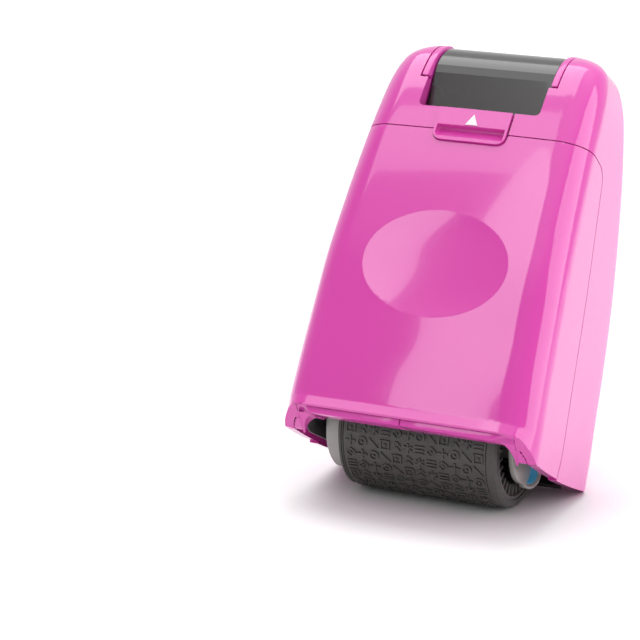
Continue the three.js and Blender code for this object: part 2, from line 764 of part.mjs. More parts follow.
const band = 0.8;
const bandDrop = 0.4;
function sleeve() {
  const inner = hubRadius + gap;
  const low = rollerRadius - bandDrop;
  return turned([
    [inner, -printHalf],
    [low, -printHalf],
    [low, band - printHalf],
    [rollerRadius, band - printHalf],
    [rollerRadius, printHalf - band],
    [low, printHalf - band],
    [low, printHalf],
    [inner, printHalf],
    [inner, -printHalf],
  ], 56);
}

function bush() {
  const end = armInner - gap / 2;
  const inner = boreOf(pinRadius);
  const step = hubHalf;
  return turned([
    [inner, end],
    [inner, step - bushLength],
    [bushRadius, step - bushLength],
    [bushRadius, step],
    [bushFlange, step],
    [bushFlange, end],
    [inner, end],
  ], 20);
}

place('stamp_hub', rollerHub(), black);
place('stamp_sleeve', sleeve(), rubber);
place('stamp_axle', rod(pinRadius, -armOuter, armOuter, 16), steel);
const rightBush = bush();
place('bush_right', rightBush, clear);
place('bush_left', mirrored(rightBush), clear);

// Cartridge: a clear frame that carries the print roller and the ink roller. Its right cheek
// has a tilted boss for the ink plug, and its left one a round wall in front of the guard's wire.
const cheekHub = { right: 7.0, left: 8.7 };
const cheekWall = 0.8;
const cheekWallStart = THREE.MathUtils.degToRad(100);
const cheekWallEnd = THREE.MathUtils.degToRad(290);
const housingRoom = 0.7;
const housingInner = inkRadius + housingRoom;
const housingWall = 1.0;
const housingStart = THREE.MathUtils.degToRad(15);
const housingEnd = THREE.MathUtils.degToRad(215);
const plug = { y: 2.8, z: -4.7, radius: 2.0, ring: 0.35, reach: 0.3, depth: 0.8, sink: 0.15 };
const plugTilt = THREE.MathUtils.degToRad(-25);
function plugRod(radius, low, high) {
  return rod(radius, low, high, 24)
    .rotate(0, 0, THREE.MathUtils.radToDeg(plugTilt))
    .translate(armOuter + plug.reach, plug.y, plug.z);
}

function cheek(hubRadius, lobe) {
  const hub = { y: 0, z: 0, radius: hubRadius };
  const arm = sideExtrude(strap(hub, { ...inkAxis, radius: housingInner + housingWall }), armInner, armOuter, 12);
  const seat = rod(seatRadius, armOuter - tiny, halfAt(inkAxis.z) - frameInside - gap)
    .translate(0, inkAxis.y, inkAxis.z);
  const bores = joined([
    rod(boreOf(pinRadius), -halfWidth, halfWidth, 16),
    rod(boreOf(pinRadius), -armOuter, armOuter, 16).translate(0, inkAxis.y, inkAxis.z),
  ]);
  return joined([arm, seat, lobe]).subtract(bores);
}

function cartridgeFrame() {
  const boss = { y: plug.y, z: plug.z, radius: plug.radius + gap + plug.ring };
  const bossLobe = joined([
    sideExtrude(strap({ y: 0, z: 0, radius: boss.radius }, boss), armInner, armOuter, 8),
    plugRod(boss.radius, -overrun, 0).intersect(box([armInner, halfWidth], [-overrun, overrun], [-overrun, 0])),
  ]);
  const plugBore = plugRod(plug.radius + gap, -armOuter, armOuter);
  const ring = ringSector(cheekHub.left - cheekWall, cheekHub.left, cheekWallStart, cheekWallEnd);
  const roundWall = sideExtrude(ring, armOuter - tiny, guardPlateInner - gap, 12);
  const housing = sideExtrude(
    ringSector(housingInner, housingInner + housingWall, housingStart, housingEnd),
    -armInner - tiny,
    armInner + tiny,
    12,
  ).translate(0, inkAxis.y, inkAxis.z);
  const right = cheek(cheekHub.right, bossLobe).subtract(plugBore);
  return joined([right, mirrored(cheek(cheekHub.left, roundWall)), housing]);
}
place('cartridge_frame', cartridgeFrame(), clear);

place('ink_plug', plugRod(plug.radius, -plug.depth, -plug.sink), blue);

// Ink roller: a felt sleeve on a plastic core, running on its own axle against the print roller.
const coreRadius = 2.4;
const inkEndRoom = 0.4;
const inkHalf = printHalf - inkEndRoom;
const inkGroup = groupAt(inkAxis.y, inkAxis.z);
place('ink_felt', tube(inkRadius, boreOf(coreRadius), -inkHalf, inkHalf, 36), felt, inkGroup);
place('ink_core', tube(coreRadius, boreOf(pinRadius), -inkHalf - gap, inkHalf + gap, 20), black, inkGroup);
place('ink_axle', rod(pinRadius, -armOuter + tiny, armOuter - tiny, 16), steel, inkGroup);

// Stand the leaned stamp on the floor, with its footprint centred on the origin.
const group = new THREE.Group();
group.add(stamp);
group.updateMatrixWorld(true);
const bounds = new THREE.Box3().setFromObject(group, true);
const middle = bounds.getCenter(new THREE.Vector3());
stamp.position.set(-middle.x, -middle.y, -bounds.min.z);

export default group;
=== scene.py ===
import json
import math

import bmesh
import bpy
from mathutils import Matrix, Vector


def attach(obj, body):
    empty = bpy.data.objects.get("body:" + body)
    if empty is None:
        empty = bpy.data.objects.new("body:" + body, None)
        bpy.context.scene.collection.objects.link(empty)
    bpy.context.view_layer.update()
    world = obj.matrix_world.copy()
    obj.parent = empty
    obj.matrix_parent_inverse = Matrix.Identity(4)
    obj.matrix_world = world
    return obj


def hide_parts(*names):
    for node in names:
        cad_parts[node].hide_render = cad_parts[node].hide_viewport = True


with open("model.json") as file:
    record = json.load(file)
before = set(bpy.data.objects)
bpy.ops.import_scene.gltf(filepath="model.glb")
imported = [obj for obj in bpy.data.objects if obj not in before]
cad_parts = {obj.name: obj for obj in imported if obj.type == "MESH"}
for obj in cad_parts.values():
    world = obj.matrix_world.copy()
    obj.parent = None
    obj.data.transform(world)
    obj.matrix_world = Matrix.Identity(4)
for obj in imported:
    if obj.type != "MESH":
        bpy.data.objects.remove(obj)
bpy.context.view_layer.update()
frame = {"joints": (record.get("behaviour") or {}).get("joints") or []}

# Camera: a long lens, level with the casing's lower half, to the right of its front.
# Every piece below is drawn upright in millimetres about the print roller's axis, with
# x along the roller, y to the back and z up the casing. "stand" leans it onto the floor.
LEAN = math.radians(26)
roller_place = next(j for j in frame["joints"] if j["name"] == "roller_spin")["pos_m"]
stand = Matrix.Translation(roller_place) @ Matrix.Rotation(-LEAN, 4, "X") @ Matrix.Scale(0.001, 4)
eye_right = Vector((0.90535, 0.37645, 0.19655))
eye_up = Vector((-0.12289, -0.21079, 0.96978))
eye_back = Vector((0.40650, -0.90214, -0.14456))
lens = bpy.data.cameras.new("camera")
lens.sensor_width = 36
lens.lens = 147.7
camera = bpy.data.objects.new("camera", lens)
bpy.context.scene.collection.objects.link(camera)
camera.matrix_world = (
    Matrix.Translation(stand @ Vector((154.61, -399.48, -48.93)))
    @ Matrix.Rotation(-LEAN, 4, "X")
    @ Matrix((eye_right, eye_up, eye_back)).transposed().to_4x4()
)
bpy.context.scene.camera = camera

# Rear shell: the back, the rear of both sides and the crown, moulded in glossy pink plastic.
# One smooth skin is drawn over the whole casing, and this piece, the front cover and the
# latch tab are each cut from it. The skin gets its wall afterwards, on the inside.
SECTIONS = [  # height, half width, front reach, rear reach, corner radius
    (-8.0, 21.81, 18.80, 17.80, 5.5),
    (0.0, 21.70, 18.80, 17.80, 5.5),
    (7.0, 21.44, 18.71, 17.80, 5.5),
    (14.0, 21.24, 18.25, 17.80, 5.5),
    (24.0, 20.90, 17.50, 17.30, 5.5),
    (32.0, 20.51, 16.21, 16.50, 5.5),
    (40.0, 20.09, 14.61, 15.20, 5.5),
    (47.0, 19.70, 12.90, 13.71, 5.5),
    (52.0, 19.40, 11.39, 12.10, 5.5),
    (56.0, 19.01, 9.91, 10.70, 5.2),
    (59.0, 18.40, 8.50, 9.20, 4.8),
    (61.3, 17.49, 6.90, 7.40, 4.2),
    (63.0, 15.80, 4.70, 5.30, 3.2),
    (64.0, 13.41, 2.41, 3.20, 1.9),
    (64.3, 11.61, 1.00, 1.90, 1.0),
]
TOP = 64.3
HALF_WIDTH = 21.7
WALL = 1.5
GAP = 0.3
CROWN = 0.8  # how far the front's middle stands out before its edges


def section_at(share):
    """One section of the casing, share of the way from foot to crown, on a smooth curve."""
    steps = [0.0]
    for low, high in zip(SECTIONS, SECTIONS[1:]):
        steps.append(steps[-1] + math.dist(low[:4], high[:4]))
    reach = share * steps[-1]
    k = max(i for i in range(len(steps) - 1) if steps[i] <= reach + 1e-9)

    def slope(i, column):
        a, b = max(i - 1, 0), min(i + 1, len(steps) - 1)
        return (SECTIONS[b][column] - SECTIONS[a][column]) / (steps[b] - steps[a])

    span = steps[k + 1] - steps[k]
    t = (reach - steps[k]) / span
    found = []
    for column in range(5):
        p, q = SECTIONS[k][column], SECTIONS[k + 1][column]
        m, n = slope(k, column) * span, slope(k + 1, column) * span
        found.append(
            (2 * t**3 - 3 * t**2 + 1) * p
            + (t**3 - 2 * t**2 + t) * m
            + (3 * t**2 - 2 * t**3) * q
            + (t**3 - t**2) * n
        )
    return found


def height_row(z):
    """The share at which the casing is z high."""
    low, high = 0.0, 1.0
    for _ in range(40):
        middle = (low + high) / 2
        low, high = (middle, high) if section_at(middle)[0] < z else (low, middle)
    return low


def front_at(z):
    """Where the casing's front is on the middle line, z high."""
    return -section_at(height_row(z))[2]


def rear_at(z):
    """Where the casing's back is on the middle line, z high."""
    return section_at(height_row(z))[3]


def skin(inset=0.0, rows=120):
    """The casing's smooth outer form as a bmesh, closed at the crown and open at the foot."""
    spans = [("back", 12), ("back_corner", 10), ("side", 26), ("front_corner", 14), ("front", 32)]
    stations = []
    for kind, count in spans:
        stations += [(kind, i / count) for i in range(count)]
    stations.append(("front", 1.0))
    half = len(stations) - 1
    shell = bmesh.new()
    bmesh.ops.create_grid(shell, x_segments=half * 2, y_segments=rows, size=1.0)
    sections = [section_at(row / rows) for row in range(rows + 1)]
    for vert in shell.verts:
        column = round((vert.co.x + 1) / 2 * half * 2)
        row = round((vert.co.y + 1) / 2 * rows)
        kind, t = stations[column if column <= half else half * 2 - column]
        sign = 1 if column <= half else -1
        z, wide, front, rear, corner = sections[row]
        z = z if z < 0 else z * (TOP - inset) / TOP
        wide, front, rear = wide - inset, front - inset, rear - inset
        corner = min(max(corner - inset, 0.3), (front + rear) * 0.45)
        if kind == "back":
            x, y = t * (wide - corner), rear
        elif kind == "back_corner":
            x = wide - corner + corner * math.sin(t * math.pi / 2)
            y = rear - corner + corner * math.cos(t * math.pi / 2)
        elif kind == "side":
            x, y = wide, rear - corner + t * (2 * corner - rear - front)
        elif kind == "front_corner":
            x = wide - corner + corner * math.cos(t * math.pi / 2)
            y = corner - front - corner * math.sin(t * math.pi / 2)
        else:
            x, y = (1 - t) * (wide - corner), -front
        if row == rows:
            x, y = min(x, wide - corner), (rear - front) / 2
        else:
            y += CROWN * (x / HALF_WIDTH) ** 2 * max(0.0, -y / max(front, 1.5))
        vert.co = (sign * x, y, z)
    bmesh.ops.remove_doubles(shell, verts=shell.verts[:], dist=0.01)
    shell.normal_update()
    lowest = min(shell.faces, key=lambda f: f.calc_center_median().y)
    if lowest.normal.y > 0:
        bmesh.ops.reverse_faces(shell, faces=shell.faces[:])
    return shell


def fence(points, view="side"):
    """Planes along a chain of points that turns left, each facing out. Side view is (y, z), front (x, z)."""
    planes = []
    for (a, b), (c, d) in zip(points, points[1:]):
        out = Vector((d - b, a - c)).normalized()
        if view == "side":
            planes.append((Vector((0, a, b)), Vector((0, out.x, out.y))))
        else:
            planes.append((Vector((a, 0, b)), Vector((out.x, 0, out.y))))
    return planes


def block(x=None, y=None, z=None):
    """Planes of an upright block, each facing out. A side that is left out stays open."""
    planes = []
    for axis, span in enumerate((x, y, z)):
        for value, sign in zip(span or (), (-1, 1)):
            if value is not None:
                point, out = Vector(), Vector()
                point[axis], out[axis] = value, sign
                planes.append((point, out))
    return planes


def keep_inside(shell, planes):
    """Cuts off what lies outside any of the planes, and leaves the cuts open."""
    for point, out in planes:
        everything = shell.verts[:] + shell.edges[:] + shell.faces[:]
        bmesh.ops.bisect_plane(
            shell, geom=everything, dist=1e-4, plane_co=point, plane_no=out, clear_outer=True
        )


def faces_inside(shell, planes):
    """Cuts the planes' outline into the skin and gives the faces inside all of them."""
    inside = shell.faces[:]
    for point, out in planes:
        edges = {e for f in inside for e in f.edges}
        verts = {v for f in inside for v in f.verts}
        cut = bmesh.ops.bisect_plane(
            shell, geom=inside + list(edges) + list(verts), dist=1e-4, plane_co=point, plane_no=out
        )
        faces = [g for g in cut["geom"] if isinstance(g, bmesh.types.BMFace)]
        inside = [f for f in faces if (f.calc_center_median() - point).dot(out) < 0]
    return inside


def cut_away(shell, planes):
    """Cuts a hole where the skin lies inside all of the planes."""
    bmesh.ops.delete(shell, geom=faces_inside(shell, planes), context="FACES")


def bend(start, handle, end, steps=6):
    """Points of a rounded corner, without its start."""
    return [
        tuple((1 - t) ** 2 * a + 2 * t * (1 - t) * b + t**2 * c for a, b, c in zip(start, handle, end))
        for t in [i / steps for i in range(1, steps + 1)]
    ]


def round_edges(shape, width, sharp=30, segments=2):
    """Rounds every edge that is sharper than an angle in degrees."""
    edges = [e for e in shape.edges if len(e.link_faces) == 2 and e.calc_face_angle() > math.radians(sharp)]
    bmesh.ops.bevel(
        shape,
        geom=edges,
        offset=width,
        offset_type="OFFSET",
        segments=segments,
        profile=0.5,
        affect="EDGES",
        clamp_overlap=True,
        material=-1,
    )


def add_wall(shell, thickness):
    """Gives an open skin its wall, on the inside."""
    bmesh.ops.remove_doubles(shell, verts=[v for v in shell.verts if v.is_boundary], dist=0.12)
    shell.normal_update()
    bmesh.ops.solidify(shell, geom=shell.faces[:], thickness=thickness)
    shell.normal_update()


def finish_piece(shape, name, body, material, replaces=(), sharp=32):
    """Leans a drawn shape into place, marks its sharp edges and fixes it to its body."""
    bmesh.ops.transform(shape, matrix=stand, verts=shape.verts[:])
    for edge in shape.edges:
        edge.smooth = len(edge.link_faces) == 2 and edge.calc_face_angle() < math.radians(sharp)
    for face in shape.faces:
        face.smooth = True
    mesh = bpy.data.meshes.new(name)
    shape.to_mesh(mesh)
    shape.free()
    mesh.materials.append(material)
    piece = bpy.data.objects.new(name, mesh)
    bpy.context.scene.collection.objects.link(piece)
    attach(piece, body)
    if replaces:
        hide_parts(*replaces)


def moulded_plastic(name, colour, shade, gloss, rough, ripple=0.02, coat=0.0):
    """Plastic with a faint flow cloud in its colour, an uneven polish and a slight ripple."""
    material = bpy.data.materials.new(name)
    material.use_nodes = True
    nodes, links = material.node_tree.nodes, material.node_tree.links
    shader = nodes["Principled BSDF"]
    place = nodes.new("ShaderNodeTexCoord")
    cloud = nodes.new("ShaderNodeTexNoise")
    cloud.inputs["Scale"].default_value = 70
    cloud.inputs["Detail"].default_value = 3
    links.new(place.outputs["Object"], cloud.inputs["Vector"])
    tint = nodes.new("ShaderNodeMix")
    tint.data_type = "RGBA"
    tint.inputs["A"].default_value = (*colour, 1)
    tint.inputs["B"].default_value = (*shade, 1)
    links.new(cloud.outputs["Fac"], tint.inputs["Factor"])
    links.new(tint.outputs["Result"], shader.inputs["Base Color"])
    grain = nodes.new("ShaderNodeTexNoise")
    grain.inputs["Scale"].default_value = 1400
    grain.inputs["Detail"].default_value = 4
    links.new(place.outputs["Object"], grain.inputs["Vector"])
    polish = nodes.new("ShaderNodeMapRange")
    polish.inputs["From Min"].default_value = 0.3
    polish.inputs["From Max"].default_value = 0.7
    polish.inputs["To Min"].default_value = gloss
    polish.inputs["To Max"].default_value = rough
    links.new(grain.outputs["Fac"], polish.inputs["Value"])
    links.new(polish.outputs["Result"], shader.inputs["Roughness"])
    bump = nodes.new("ShaderNodeBump")
    bump.inputs["Strength"].default_value = ripple
    bump.inputs["Distance"].default_value = 0.0002
    links.new(grain.outputs["Fac"], bump.inputs["Height"])
    links.new(bump.outputs["Normal"], shader.inputs["Normal"])
    shader.inputs["Coat Weight"].default_value = coat
    shader.inputs["Coat Roughness"].default_value = 0.03
    return material


pink_plastic = moulded_plastic(
    "pink_plastic", (0.64, 0.052, 0.37), (0.62, 0.047, 0.355), gloss=0.08, rough=0.13, ripple=0.01, coat=0.6
)

# What the seams and the mouth follow: the hinge line, the cover's edge and the casing's foot.
HINGE = (-15.3, -2.4)
SWING = math.hypot(front_at(46.9) - HINGE[0], 46.9 - HINGE[1])


def cover_chain(grow):
    """The seam round the front cover in the side view, from the sill up and over to the front."""
    edge, swing = -1.9 + grow, SWING + grow

    def high(y):
        return HINGE[1] + math.sqrt(swing**2 - (y - HINGE[0]) ** 2)

    chain = [(edge - 0.7, -6.1), (edge, HINGE[1]), (edge, high(edge) - 2.3)]
    chain += bend(chain[-1], (edge, high(edge)), (edge - 2.3, high(edge - 2.3)))
    return chain + [(y, high(y)) for y in (edge - 3.5, -7, -9, -11, -13, -15.3)]


def sill(raised=0.0):
    """The casing's lower edge in the side view, from the front corner to behind the back."""
    chain = [(-18.8, -4.6)] + bend((-18.8, -4.6), (-12.0, -5.9), (-3.0, -5.9))
    chain += bend((-3.0, -5.9), (6.0, -5.9), (15.4, -5.06)) + [(16.3, -4.62)]
    chain += bend((16.3, -4.62), (17.9, -3.84), (17.9, -2.2)) + [(17.9, 3.0)]
    return [(y, z + raised) for y, z in chain]


def rounded_notch(half, low, corner):
    """A notch open at the top, with round lower corners, in the front view."""
    chain = [(-half, low + 20), (-half, low + corner)]
    chain += bend(chain[-1], (-half, low), (corner - half, low))
    chain.append((half - corner, low))
    chain += bend(chain[-1], (half, low), (half, low + corner))
    return chain + [(half, low + 20)]


TAB_NOTCH = block(y=(None, -6), z=(40, None)) + fence(rounded_notch(6.5, 44.9, 1.9), "front")
rear_shell = skin()
keep_inside(rear_shell, fence(sill()))
cut_away(rear_shell, fence(cover_chain(0.2)))
cut_away(rear_shell, block(y=(None, 0.4), z=(46, None)) + fence(rounded_notch(10.6, 51.0, 1.0), "front"))
cut_away(rear_shell, block((-12.1, 12.1), (None, 0.4), (56.4, None)))
cut_away(rear_shell, block((-12.1, 12.1), (0.4, None), (54.4, None)))
cut_away(rear_shell, TAB_NOTCH)
add_wall(rear_shell, WALL)
finish_piece(rear_shell, "rear_shell_skin", "casing", pink_plastic, ["rear_shell"])

# Front cover: the front face with its oval finger dish and the front half of both sides, in
# the same pink plastic. It turns on two short pins in the lip over the mouth. Its foot has a
# slight flange and sloping corners, and is hollowed inside to roll round that lip.
LIP_RADIUS = 3.5
MOUTH_HALF = 18.9
SLOPE = [(-17.58, -1.8), (-13.1, -5.2)]  # under the mouth's two upper corners, in the side view
FLANGE_TOP = -0.1
FLANGE_FOOT = -1.8
DISH_HALF_WIDTH = 12.4
DISH_HALF_HEIGHT = 9.0
DISH_MIDDLE = 23.9
DISH_BULGE = 1.9


def barrel(x):
    """Radius of the lip over the mouth at x, rounded as the cover's face and corners are."""
    corner_radius, straight_half = 5.5, 16.2
    past = max(0.0, abs(x) - straight_half)
    corner = corner_radius - math.sqrt(max(0.0, corner_radius**2 - past**2))
    return LIP_RADIUS - CROWN * (x / HALF_WIDTH) ** 2 - corner


def slope_height(y):
    """Height of the slope under the mouth's corners."""
    (a, b), (c, d) = SLOPE
    return b + (d - b) * (y - a) / (c - a)


def slice_at(shape, point, normal):
    """Cuts a row of edges into the shape where a plane meets it."""
    everything = shape.verts[:] + shape.edges[:] + shape.faces[:]
    bmesh.ops.bisect_plane(shape, geom=everything, plane_co=point, plane_no=normal)


front_cover = skin()
keep_inside(front_cover, fence(cover_chain(0)))
keep_inside(front_cover, fence(sill(0.3)))
arch = [(MOUTH_HALF, -30), (MOUTH_HALF, -1.9)] + bend((MOUTH_HALF, -1.9), (18.5, -1.6), (17.5, -1.6))
arch += [(-x, z) for x, z in reversed(arch)]
cut_away(front_cover, block(y=(None, -12)) + fence(arch, "front"))
for across in ((18.5, None), (None, -18.5)):
    cut_away(front_cover, block(across, (None, -12.5)) + fence(SLOPE[::-1]))
for height in (-1.3, -0.7, -0.2, FLANGE_TOP):
    slice_at(front_cover, (0, 0, height), (0, 0, 1))
for vert in front_cover.verts:
    drop = max(0.0, min(FLANGE_TOP - FLANGE_FOOT, FLANGE_TOP - vert.co.z))
    front = min(1.0, max(0.0, (-15.5 - vert.co.y) / 2.0))
    vert.co.y -= 0.32 * drop * front
cut_away(front_cover, TAB_NOTCH)
turns = [i / 72 * 2 * math.pi for i in range(73)]
oval = [(DISH_HALF_WIDTH * math.cos(a), DISH_MIDDLE + DISH_HALF_HEIGHT * math.sin(a)) for a in turns]
dished = faces_inside(front_cover, block(y=(None, -12), z=(10, 40)) + fence(oval, "front"))
for vert in {v for f in dished for v in f.verts}:
    reach = math.hypot(vert.co.x / DISH_HALF_WIDTH, (vert.co.z - DISH_MIDDLE) / DISH_HALF_HEIGHT)
    vert.co.y += DISH_BULGE * (math.sqrt(max(0.0, 2.3 - reach**2)) - math.sqrt(1.3))
add_wall(front_cover, WALL)
for vert in front_cover.verts:
    y, z = vert.co.y - HINGE[0], vert.co.z - HINGE[1]
    room = barrel(vert.co.x) + GAP
    away = math.hypot(y, z)
    if abs(vert.co.x) < 18.8 and z > 0 and away < room:
        vert.co.y, vert.co.z = HINGE[0] + y * room / away, HINGE[1] + z * room / away
front_cover.normal_update()
for face in front_cover.faces:
    if face.normal.z < -0.4 and all(abs(v.co.x) > 18.4 and v.co.y < -12.9 for v in face.verts):
        for vert in face.verts:
            vert.co.z = slope_height(vert.co.y)
finish_piece(front_cover, "front_cover_skin", "cover", pink_plastic, ["front_cover"])


def spun(profile, y=0.0, z=0.0, start=0.0, end=360.0, steps=64):
    """A profile of (x, radius) points swept round an axis along x, from start to end degrees."""
    shape = bmesh.new()
    first = math.radians(start)
    ring = [shape.verts.new((x, y + r * math.cos(first), z + r * math.sin(first))) for x, r in profile]
    chain = [shape.edges.new(pair) for pair in zip(ring, ring[1:])]
    whole = end - start >= 360
    if profile[0][1] > 0 or profile[-1][1] > 0:
        chain.append(shape.edges.new((ring[-1], ring[0])))
    cap = [] if whole else [shape.faces.new(ring)]
    bmesh.ops.spin(
        shape,
        geom=ring + chain + cap,
        cent=(0, y, z),
        axis=(1, 0, 0),
        angle=math.radians(end - start),
        steps=steps,
        use_merge=whole,
    )
    bmesh.ops.remove_doubles(shape, verts=shape.verts[:], dist=1e-4)
    bmesh.ops.recalc_face_normals(shape, faces=shape.faces[:])
    return shape


def add_shape(shape, other):
    """Adds the other shape's faces to the first."""
    carried = bpy.data.meshes.new("carried")
    other.to_mesh(carried)
    other.free()
    shape.from_mesh(carried)
    bpy.data.meshes.remove(carried)


def flipped(shape):
    """The same shape for the stamp's left side."""
    bmesh.ops.scale(shape, vec=(-1, 1, 1), verts=shape.verts[:])
    bmesh.ops.reverse_faces(shape, faces=shape.faces[:])
    return shape


cover_pins = spun([(17.0, 0), (17.0, 0.4), (17.1, 0.5), (18.8, 0.5), (18.8, 0)], *HINGE, steps=20)
boss = spun([(18.65, 0), (18.65, 1.2), (19.9, 1.2), (19.9, 0)], *HINGE, steps=48)
keep_inside(boss, fence([(y, z + 0.05) for y, z in SLOPE]))
bmesh.ops.holes_fill(boss, edges=[e for e in boss.edges if e.is_boundary], sides=0)
add_shape(cover_pins, boss)
add_shape(cover_pins, flipped(cover_pins.copy()))
finish_piece(cover_pins, "cover_pins", "cover", pink_plastic)

# Latch tab: a small pink piece that slides in the notch between cover and pocket and stands
# a little proud. A finger recess crosses it above its lower lip, a guide holds it behind the
# casing's wall, and a white triangle is printed on it as its opening mark.
TAB_PROUD = 0.4
latch_tab = skin(-TAB_PROUD, 160)
keep_inside(latch_tab, block(y=(None, -6), z=(None, 50.9)) + fence(rounded_notch(6.3, 45.1, 1.7), "front"))
RECESS_HALF = 5.9
RECESS = [  # height, depth
    (45.7, 0.0), (45.85, 0.25), (46.2, 0.6), (46.6, 0.9), (47.0, 1.1),
    (47.3, 1.1), (47.5, 0.9), (47.7, 0.4), (47.8, 0.0),
]
for height, _ in RECESS:
    slice_at(latch_tab, (0, 0, height), (0, 0, 1))
for across in (-RECESS_HALF, -5.7, -5.4, 5.4, 5.7, RECESS_HALF):
    slice_at(latch_tab, (across, 0, 0), (1, 0, 0))
for vert in latch_tab.verts:
    side = min(1.0, max(0.0, (RECESS_HALF - abs(vert.co.x)) / 0.5))
    for (low, d), (high, e) in zip(RECESS, RECESS[1:]):
        if low <= vert.co.z < high:
            depth = d + (e - d) * (vert.co.z - low) / (high - low)
            vert.co.y += depth * side * (2 - side)
            break
add_wall(latch_tab, 1.9)
guide = skin(WALL + GAP)
keep_inside(guide, block((-7.6, 7.6), (None, -6), (46.0, 49.6)))
add_wall(guide, 0.8)
add_shape(latch_tab, guide)
finish_piece(latch_tab, "latch_tab_skin", "tab", pink_plastic, ["latch_tab"])

open_mark = bmesh.new()
bmesh.ops.create_circle(open_mark, cap_ends=True, radius=1.0, segments=3)
for vert, (x, z) in zip(open_mark.verts, ((-1.05, 48.0), (1.05, 48.0), (0, 49.9))):
    vert.co = (x, front_at(z) - TAB_PROUD - 0.26, z)
grown = bmesh.ops.extrude_face_region(open_mark, geom=open_mark.faces[:])
top = [g for g in grown["geom"] if isinstance(g, bmesh.types.BMVert)]
bmesh.ops.translate(open_mark, vec=(0, 0.16, 0), verts=top)
bmesh.ops.recalc_face_normals(open_mark, faces=open_mark.faces[:])
white_ink = moulded_plastic("white_ink", (0.85, 0.80, 0.84), (0.78, 0.73, 0.78), 0.3, 0.5)
finish_piece(open_mark, "open_mark", "tab", white_ink)

# Inner frame: two pink halves that meet on the middle line. Each has a thin wall behind the
# casing's, a rail beside the thumb lever that comes up flush with the crown, half of the
# barrelled lip over the mouth with the slope at its corner, and ribs that hold the cartridge.
frame_plastic = moulded_plastic(
    "frame_plastic", (0.65, 0.06, 0.385), (0.63, 0.055, 0.37), gloss=0.14, rough=0.22, ripple=0.01, coat=0.3
)


def side_plate(points, low, high):
    """A plate with a side-view outline, from low to high along the roller's axis."""
    plate = bmesh.new()
    bmesh.ops.create_circle(plate, cap_ends=True, radius=1.0, segments=len(points))
    for vert, (y, z) in zip(plate.verts, points):
        vert.co = (low, y, z)
    grown = bmesh.ops.extrude_face_region(plate, geom=plate.faces[:])
    far = [g for g in grown["geom"] if isinstance(g, bmesh.types.BMVert)]
    bmesh.ops.translate(plate, vec=(high - low, 0, 0), verts=far)
    bmesh.ops.recalc_face_normals(plate, faces=plate.faces[:])
    return plate


def arc(y, z, radius, start, end, steps):
    """Points of an arc in the side view, in degrees from the back, both ends in."""
    turns = [math.radians(start + (end - start) * i / steps) for i in range(steps + 1)]
    return [(y + radius * math.cos(a), z + radius * math.sin(a)) for a in turns]


def trimmed(shape, planes):
    """Cuts a closed shape back to the planes and closes each cut."""
    for plane in planes:
        keep_inside(shape, [plane])
        bmesh.ops.holes_fill(shape, edges=[e for e in shape.edges if e.is_boundary], sides=0)
    bmesh.ops.recalc_face_normals(shape, faces=shape.faces[:])
    return shape


def brick(x, y, z, corner=0.15):
    """A small block between pairs of places, with its edges eased."""
    shape = bmesh.new()
    bmesh.ops.create_cube(shape, size=1.0)
    bmesh.ops.scale(shape, vec=(x[1] - x[0], y[1] - y[0], z[1] - z[0]), verts=shape.verts[:])
    bmesh.ops.translate(shape, vec=[(a + b) / 2 for a, b in (x, y, z)], verts=shape.verts[:])
    round_edges(shape, corner)
    return shape


def frame_wall():
    """One half's wall, cut out round the rollers and the cover, with a shelf above."""
    wall = skin(WALL + GAP)
    keep_inside(wall, block((0.15, None), None, (None, 46.2)) + fence(sill(1.3)))
    cut_away(wall, block((-15.5, 15.5), (None, -6), (None, 42.0)))
    cut_away(wall, block((-15.5, 15.5), (6, None), (None, 18.0)))
    cut_away(wall, block(None, (None, -12.4), (None, 42.0)))
    cut_away(wall, block((-8.2, 8.2), (None, -6), (45.2, None)))
    add_wall(wall, 1.1)
    shelf = skin(WALL + GAP, 60)
    add_shape(wall, trimmed(shelf, block((10.7, 19.8), (-12.0, 12.0), (45.0, 46.2))))
    return wall


def rail():
    """The plate beside the thumb lever, whose edge follows the casing over the crown."""
    rise = [56.9, 58.5, 60.0, 61.3, 62.5, 63.3, 63.9, 64.2]
    back = [(rear_at(z) - 1.8, z) for z in (45.0, 50.0, 54.7)] + [(rear_at(z), z) for z in [54.7] + rise]
    front = [(front_at(z) + 0.2, z) for z in rise[::-1] + [56.7]]
    front += [(front_at(z) + 2.0, z) for z in (56.7, 50.0, 45.0)]
    plate = side_plate(back + front, 10.8, 11.9)
    round_edges(plate, 0.2, 50)
    return plate


def lip():
    """Half of the barrelled lip about the hinge line, pressed flat where the slope meets it."""
    stops = [0.1, 3.0, 6.0, 9.0, 12.0, 14.0] + [15.0 + 0.3 * i for i in range(13)]
    bar = spun([(0.1, 0)] + [(x, barrel(x)) for x in stops] + [(18.6, 0)], *HINGE, steps=96)
    trimmed(bar, block(None, (None, HINGE[0] + 1.3), (-2.9, None)))
    round_edges(bar, 0.12, 40)
    point, out = fence(SLOPE)[0]
    for vert in bar.verts:
        blend = min(1.0, max(0.0, (vert.co.x - 15.2) / 3.0))
        past = (vert.co - point).dot(out)
        if past > 0:
            vert.co -= out * past * blend * blend * (3 - 2 * blend)
    return bar


